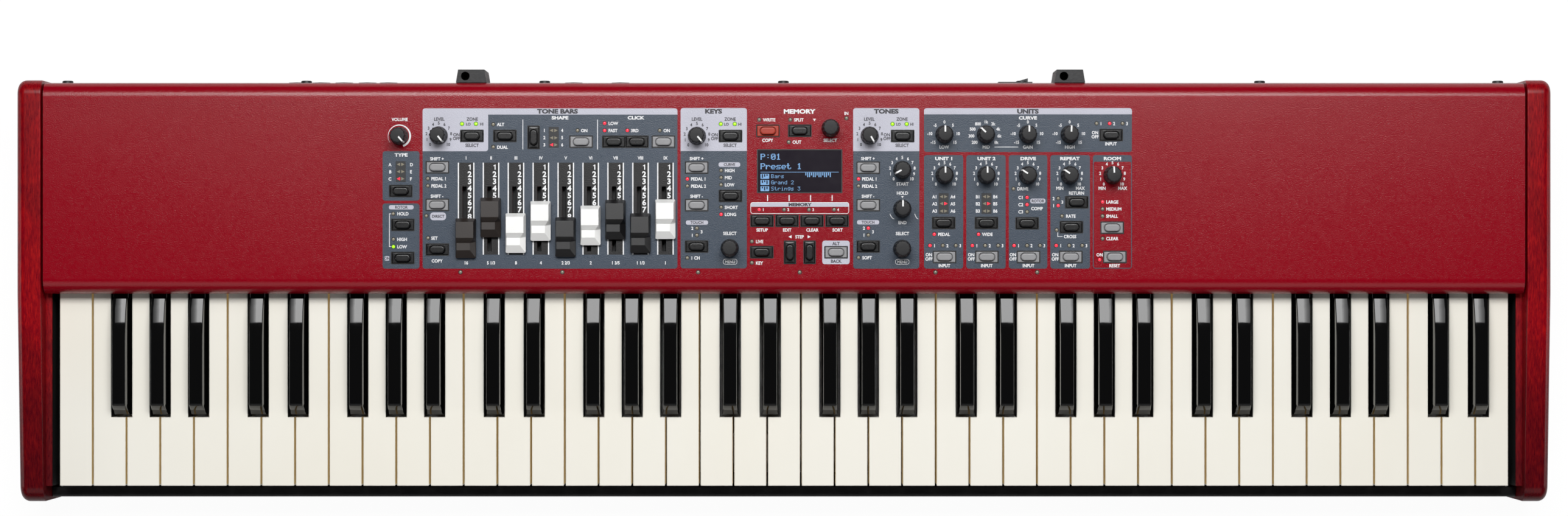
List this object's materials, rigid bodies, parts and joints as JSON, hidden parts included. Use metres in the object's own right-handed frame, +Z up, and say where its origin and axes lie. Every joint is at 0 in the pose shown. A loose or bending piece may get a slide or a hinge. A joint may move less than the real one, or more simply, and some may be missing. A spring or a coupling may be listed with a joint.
{
  "type": "stage keyboard",
  "caption": "Stage keyboard with red steel panel, stained wooden cheeks, sprung keys, drawbars, knobs, rubber buttons and rear sockets.",
  "frame": {"origin": "on the table, under the middle of the outline seen from above", "axes": "+X to the player's right, +Y to the rear, +Z up"},
  "size_m": [1.062, 0.3003, 0.0955],
  "materials": {
    "black_steel": "satin",
    "brown_plastic": "fine grain",
    "circuit_board": "solder mask",
    "display_glass": null,
    "gloss_black": "polished",
    "grey_rubber": "matte",
    "ivory_plastic": "semi-gloss",
    "matte_black": "fine grain",
    "red_paint": "satin, fine orange-peel texture",
    "red_wood": "stained red, satin lacquer, grain along the length",
    "rubber": "matte",
    "white_plastic": "smooth",
    "zinc_steel": "zinc plated"
  },
  "bodies": {
    "housing": {"bottom_tray": "black_steel", "cheek_left": "red_wood", "cheek_right": "red_wood", "control_board": "circuit_board", "display_window": "display_glass", "foot_front_left": "rubber", "foot_front_right": "rubber", "foot_rear_left": "rubber", "foot_rear_right": "rubber", "keybed_frame": "zinc_steel", "power_inlet": "matte_black", "socket_board": "matte_black", "stand_holder_left": "matte_black", "stand_holder_right": "matte_black", "top_cover": "red_paint"},
    "white_keys_1": {"white_keys_1": "ivory_plastic"},
    "black_keys_1": {"black_keys_1": "gloss_black"},
    "white_keys_2": {"white_keys_2": "ivory_plastic"},
    "black_keys_2": {"black_keys_2": "gloss_black"},
    "white_keys_3": {"white_keys_3": "ivory_plastic"},
    "black_keys_3": {"black_keys_3": "gloss_black"},
    "white_keys_4": {"white_keys_4": "ivory_plastic"},
    "black_keys_4": {"black_keys_4": "gloss_black"},
    "white_keys_5": {"white_keys_5": "ivory_plastic"},
    "black_keys_5": {"black_keys_5": "gloss_black"},
    "white_keys_6": {"white_keys_6": "ivory_plastic"},
    "black_keys_6": {"black_keys_6": "gloss_black"},
    "button_mat_organ": {"button_mat_organ": "grey_rubber"},
    "button_mat_piano": {"button_mat_piano": "grey_rubber"},
    "button_mat_program": {"button_mat_program": "grey_rubber"},
    "button_mat_synth": {"button_mat_synth": "grey_rubber"},
    "button_mat_effects": {"button_mat_effects": "grey_rubber"},
    "knob_master": {"knob_master": "matte_black"},
    "knob_organ_level": {"knob_organ_level": "matte_black"},
    "knob_piano_level": {"knob_piano_level": "matte_black"},
    "knob_program_dial": {"knob_program_dial": "matte_black"},
    "knob_synth_level": {"knob_synth_level": "matte_black"},
    "knob_attack": {"knob_attack": "matte_black"},
    "knob_decay": {"knob_decay": "matte_black"},
    "knob_piano_select": {"knob_piano_select": "matte_black"},
    "knob_sample_select": {"knob_sample_select": "matte_black"},
    "knob_eq_bass": {"knob_eq_bass": "matte_black"},
    "knob_eq_freq": {"knob_eq_freq": "matte_black"},
    "knob_eq_gain": {"knob_eq_gain": "matte_black"},
    "knob_eq_treble": {"knob_eq_treble": "matte_black"},
    "knob_effect_1": {"knob_effect_1": "matte_black"},
    "knob_effect_2": {"knob_effect_2": "matte_black"},
    "knob_amp_drive": {"knob_amp_drive": "matte_black"},
    "knob_delay_mix": {"knob_delay_mix": "matte_black"},
    "knob_reverb_mix": {"knob_reverb_mix": "matte_black"},
    "drawbar_1": {"drawbar_1": "brown_plastic"},
    "drawbar_2": {"drawbar_2": "brown_plastic"},
    "drawbar_3": {"drawbar_3": "white_plastic"},
    "drawbar_4": {"drawbar_4": "white_plastic"},
    "drawbar_5": {"drawbar_5": "matte_black"},
    "drawbar_6": {"drawbar_6": "white_plastic"},
    "drawbar_7": {"drawbar_7": "matte_black"},
    "drawbar_8": {"drawbar_8": "matte_black"},
    "drawbar_9": {"drawbar_9": "white_plastic"},
    "power_switch": {"power_switch": "matte_black"}
  },
  "joints": [
    {"name": "white_keys_1_hinge", "type": "hinge", "parent": "housing", "child": "white_keys_1", "pos_m": [0, 0.0653, 0.045], "axis": [1, 0, 0], "range_deg": [0, 2.8], "stiffness_Nm_per_rad": 5, "springref_deg": -11.46},
    {"name": "black_keys_1_hinge", "type": "hinge", "parent": "housing", "child": "black_keys_1", "pos_m": [0, 0.0653, 0.055], "axis": [1, 0, 0], "range_deg": [0, 2.8], "stiffness_Nm_per_rad": 5, "springref_deg": -11.46},
    {"name": "white_keys_2_hinge", "type": "hinge", "parent": "housing", "child": "white_keys_2", "pos_m": [0, 0.0653, 0.045], "axis": [1, 0, 0], "range_deg": [0, 2.8], "stiffness_Nm_per_rad": 5, "springref_deg": -11.46},
    {"name": "black_keys_2_hinge", "type": "hinge", "parent": "housing", "child": "black_keys_2", "pos_m": [0, 0.0653, 0.055], "axis": [1, 0, 0], "range_deg": [0, 2.8], "stiffness_Nm_per_rad": 5, "springref_deg": -11.46},
    {"name": "white_keys_3_hinge", "type": "hinge", "parent": "housing", "child": "white_keys_3", "pos_m": [0, 0.0653, 0.045], "axis": [1, 0, 0], "range_deg": [0, 2.8], "stiffness_Nm_per_rad": 5, "springref_deg": -11.46},
    {"name": "black_keys_3_hinge", "type": "hinge", "parent": "housing", "child": "black_keys_3", "pos_m": [0, 0.0653, 0.055], "axis": [1, 0, 0], "range_deg": [0, 2.8], "stiffness_Nm_per_rad": 5, "springref_deg": -11.46},
    {"name": "white_keys_4_hinge", "type": "hinge", "parent": "housing", "child": "white_keys_4", "pos_m": [0, 0.0653, 0.045], "axis": [1, 0, 0], "range_deg": [0, 2.8], "stiffness_Nm_per_rad": 5, "springref_deg": -11.46},
    {"name": "black_keys_4_hinge", "type": "hinge", "parent": "housing", "child": "black_keys_4", "pos_m": [0, 0.0653, 0.055], "axis": [1, 0, 0], "range_deg": [0, 2.8], "stiffness_Nm_per_rad": 5, "springref_deg": -11.46},
    {"name": "white_keys_5_hinge", "type": "hinge", "parent": "housing", "child": "white_keys_5", "pos_m": [0, 0.0653, 0.045], "axis": [1, 0, 0], "range_deg": [0, 2.8], "stiffness_Nm_per_rad": 5, "springref_deg": -11.46},
    {"name": "black_keys_5_hinge", "type": "hinge", "parent": "housing", "child": "black_keys_5", "pos_m": [0, 0.0653, 0.055], "axis": [1, 0, 0], "range_deg": [0, 2.8], "stiffness_Nm_per_rad": 5, "springref_deg": -11.46},
    {"name": "white_keys_6_hinge", "type": "hinge", "parent": "housing", "child": "white_keys_6", "pos_m": [0, 0.0653, 0.045], "axis": [1, 0, 0], "range_deg": [0, 2.8], "stiffness_Nm_per_rad": 5, "springref_deg": -11.46},
    {"name": "black_keys_6_hinge", "type": "hinge", "parent": "housing", "child": "black_keys_6", "pos_m": [0, 0.0653, 0.055], "axis": [1, 0, 0], "range_deg": [0, 2.8], "stiffness_Nm_per_rad": 5, "springref_deg": -11.46},
    {"name": "button_mat_organ_press", "type": "slide", "parent": "housing", "child": "button_mat_organ", "axis": [0, 0, -1], "range_m": [0, 0.001], "stiffness_N_per_m": 500, "springref_m": -0.004},
    {"name": "button_mat_piano_press", "type": "slide", "parent": "housing", "child": "button_mat_piano", "axis": [0, 0, -1], "range_m": [0, 0.001], "stiffness_N_per_m": 500, "springref_m": -0.004},
    {"name": "button_mat_program_press", "type": "slide", "parent": "housing", "child": "button_mat_program", "axis": [0, 0, -1], "range_m": [0, 0.001], "stiffness_N_per_m": 500, "springref_m": -0.004},
    {"name": "button_mat_synth_press", "type": "slide", "parent": "housing", "child": "button_mat_synth", "axis": [0, 0, -1], "range_m": [0, 0.001], "stiffness_N_per_m": 500, "springref_m": -0.004},
    {"name": "button_mat_effects_press", "type": "slide", "parent": "housing", "child": "button_mat_effects", "axis": [0, 0, -1], "range_m": [0, 0.001], "stiffness_N_per_m": 500, "springref_m": -0.004},
    {"name": "knob_master_turn", "type": "hinge", "parent": "housing", "child": "knob_master", "pos_m": [-0.2659, 0.1032, 0.08], "axis": [0, 0, -1], "range_deg": [-290, 10]},
    {"name": "knob_organ_level_turn", "type": "hinge", "parent": "housing", "child": "knob_organ_level", "pos_m": [-0.2387, 0.1036, 0.08], "axis": [0, 0, -1], "range_deg": [-292, 8]},
    {"name": "knob_piano_level_turn", "type": "hinge", "parent": "housing", "child": "knob_piano_level", "pos_m": [-0.0602, 0.1033, 0.08], "axis": [0, 0, -1], "range_deg": [-290, 10]},
    {"name": "knob_program_dial_turn", "type": "hinge", "parent": "housing", "child": "knob_program_dial", "pos_m": [0.0322, 0.1087, 0.08], "axis": [0, 0, -1], "continuous": true},
    {"name": "knob_synth_level_turn", "type": "hinge", "parent": "housing", "child": "knob_synth_level", "pos_m": [0.0592, 0.1035, 0.08], "axis": [0, 0, -1], "range_deg": [-300, 0]},
    {"name": "knob_attack_turn", "type": "hinge", "parent": "housing", "child": "knob_attack", "pos_m": [0.0818, 0.0798, 0.08], "axis": [0, 0, -1], "range_deg": [-31, 269]},
    {"name": "knob_decay_turn", "type": "hinge", "parent": "housing", "child": "knob_decay", "pos_m": [0.0818, 0.053, 0.08], "axis": [0, 0, -1], "range_deg": [-150, 150]},
    {"name": "knob_piano_select_turn", "type": "hinge", "parent": "housing", "child": "knob_piano_select", "pos_m": [-0.0375, 0.0257, 0.08], "axis": [0, 0, -1], "continuous": true},
    {"name": "knob_sample_select_turn", "type": "hinge", "parent": "housing", "child": "knob_sample_select", "pos_m": [0.0817, 0.0253, 0.08], "axis": [0, 0, -1], "continuous": true},
    {"name": "knob_eq_bass_turn", "type": "hinge", "parent": "housing", "child": "knob_eq_bass", "pos_m": [0.1109, 0.1044, 0.08], "axis": [0, 0, -1], "range_deg": [-150, 150]},
    {"name": "knob_eq_freq_turn", "type": "hinge", "parent": "housing", "child": "knob_eq_freq", "pos_m": [0.1396, 0.1044, 0.08], "axis": [0, 0, -1], "range_deg": [-105, 195]},
    {"name": "knob_eq_gain_turn", "type": "hinge", "parent": "housing", "child": "knob_eq_gain", "pos_m": [0.1686, 0.1044, 0.08], "axis": [0, 0, -1], "range_deg": [-150, 150]},
    {"name": "knob_eq_treble_turn", "type": "hinge", "parent": "housing", "child": "knob_eq_treble", "pos_m": [0.1975, 0.1044, 0.08], "axis": [0, 0, -1], "range_deg": [-152, 148]},
    {"name": "knob_effect_1_turn", "type": "hinge", "parent": "housing", "child": "knob_effect_1", "pos_m": [0.111, 0.0762, 0.08], "axis": [0, 0, -1], "range_deg": [-150, 150]},
    {"name": "knob_effect_2_turn", "type": "hinge", "parent": "housing", "child": "knob_effect_2", "pos_m": [0.1399, 0.0762, 0.08], "axis": [0, 0, -1], "range_deg": [-150, 150]},
    {"name": "knob_amp_drive_turn", "type": "hinge", "parent": "housing", "child": "knob_amp_drive", "pos_m": [0.1686, 0.0762, 0.08], "axis": [0, 0, -1], "range_deg": [-94, 206]},
    {"name": "knob_delay_mix_turn", "type": "hinge", "parent": "housing", "child": "knob_delay_mix", "pos_m": [0.1975, 0.0762, 0.08], "axis": [0, 0, -1], "range_deg": [-95, 205]},
    {"name": "knob_reverb_mix_turn", "type": "hinge", "parent": "housing", "child": "knob_reverb_mix", "pos_m": [0.2271, 0.0762, 0.08], "axis": [0, 0, -1], "range_deg": [-147, 153]},
    {"name": "drawbar_1_pull", "type": "slide", "parent": "housing", "child": "drawbar_1", "axis": [0, 1, 0], "range_m": [0, 0.0387]},
    {"name": "drawbar_2_pull", "type": "slide", "parent": "housing", "child": "drawbar_2", "axis": [0, 1, 0], "range_m": [-0.0143, 0.0244]},
    {"name": "drawbar_3_pull", "type": "slide", "parent": "housing", "child": "drawbar_3", "axis": [0, 1, 0], "range_m": [-0.0035, 0.0352]},
    {"name": "drawbar_4_pull", "type": "slide", "parent": "housing", "child": "drawbar_4", "axis": [0, 1, 0], "range_m": [-0.0119, 0.0268]},
    {"name": "drawbar_5_pull", "type": "slide", "parent": "housing", "child": "drawbar_5", "axis": [0, 1, 0], "range_m": [-0.0008, 0.0379]},
    {"name": "drawbar_6_pull", "type": "slide", "parent": "housing", "child": "drawbar_6", "axis": [0, 1, 0], "range_m": [-0.0088, 0.0299]},
    {"name": "drawbar_7_pull", "type": "slide", "parent": "housing", "child": "drawbar_7", "axis": [0, 1, 0], "range_m": [-0.0128, 0.0259]},
    {"name": "drawbar_8_pull", "type": "slide", "parent": "housing", "child": "drawbar_8", "axis": [0, 1, 0], "range_m": [-0.0035, 0.0352]},
    {"name": "drawbar_9_pull", "type": "slide", "parent": "housing", "child": "drawbar_9", "axis": [0, 1, 0], "range_m": [-0.0131, 0.0256]},
    {"name": "power_switch_rock", "type": "hinge", "parent": "housing", "child": "power_switch", "pos_m": [0.1612, 0.139, 0.054], "axis": [0, 0, 1], "range_deg": [-16, 0]}
  ]
}
